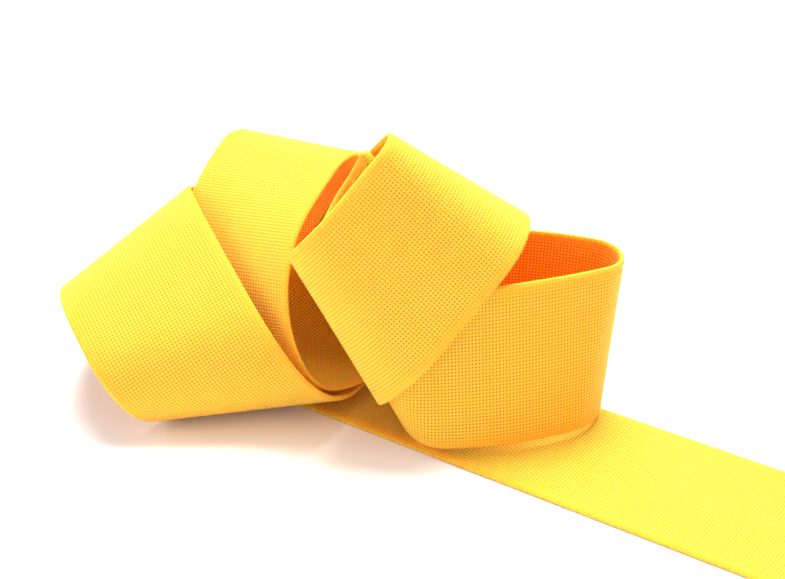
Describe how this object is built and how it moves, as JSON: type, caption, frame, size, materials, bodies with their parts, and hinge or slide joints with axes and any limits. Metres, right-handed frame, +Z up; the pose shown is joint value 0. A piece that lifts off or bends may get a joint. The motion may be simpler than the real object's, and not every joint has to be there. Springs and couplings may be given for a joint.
{
  "type": "martial arts belt",
  "caption": "Long strip of plain-woven webbing lying in loose loops, with a ring standing on edge, a flat tail and a roll.",
  "frame": {"origin": "middle of the strip's underside, where the flat tail leaves the loops", "axes": "+X along the flat tail away from the loops, +Z up from the surface that the belt lies on"},
  "size_m": [0.2875, 0.0851, 0.0763],
  "materials": {
    "webbing": "plain-woven, dyed yellow",
    "thread": "twisted sewing thread"
  },
  "bodies": {
    "coil": {"base_run": "webbing", "base_corner": "webbing", "first_rise": "webbing", "first_back_low": "webbing", "first_back_high": "webbing", "first_top_back": "webbing", "first_top": "webbing", "first_front": "webbing", "first_under": "webbing", "first_floor": "webbing", "second_rise": "webbing", "second_back_low": "webbing", "second_back_high": "webbing", "second_top": "webbing", "second_front": "webbing", "second_under": "webbing", "third_rise_low": "webbing", "third_rise_high": "webbing", "third_back": "webbing", "third_top": "webbing", "third_front_top": "webbing", "third_front": "webbing", "third_fold": "webbing", "ring_back_left": "webbing", "ring_back": "webbing", "ring_right_turn": "webbing", "ring_front_right": "webbing", "ring_front": "webbing", "ring_front_left": "webbing", "ring_left_turn": "webbing", "inner_end": "webbing", "inner_end_hem": "webbing", "inner_end_stitch_1": "thread", "inner_end_stitch_2": "thread"},
    "tail": {"tail_run": "webbing", "tail_roll": "webbing", "outer_end_hem": "webbing", "outer_end_stitch_1": "thread", "outer_end_stitch_2": "thread"}
  },
  "joints": [
    {"name": "tail_lift", "type": "hinge", "parent": "coil", "child": "tail", "pos_m": [0.01, 0, 0.0012], "axis": [0, -1, 0], "range_deg": [0, 70]}
  ]
}
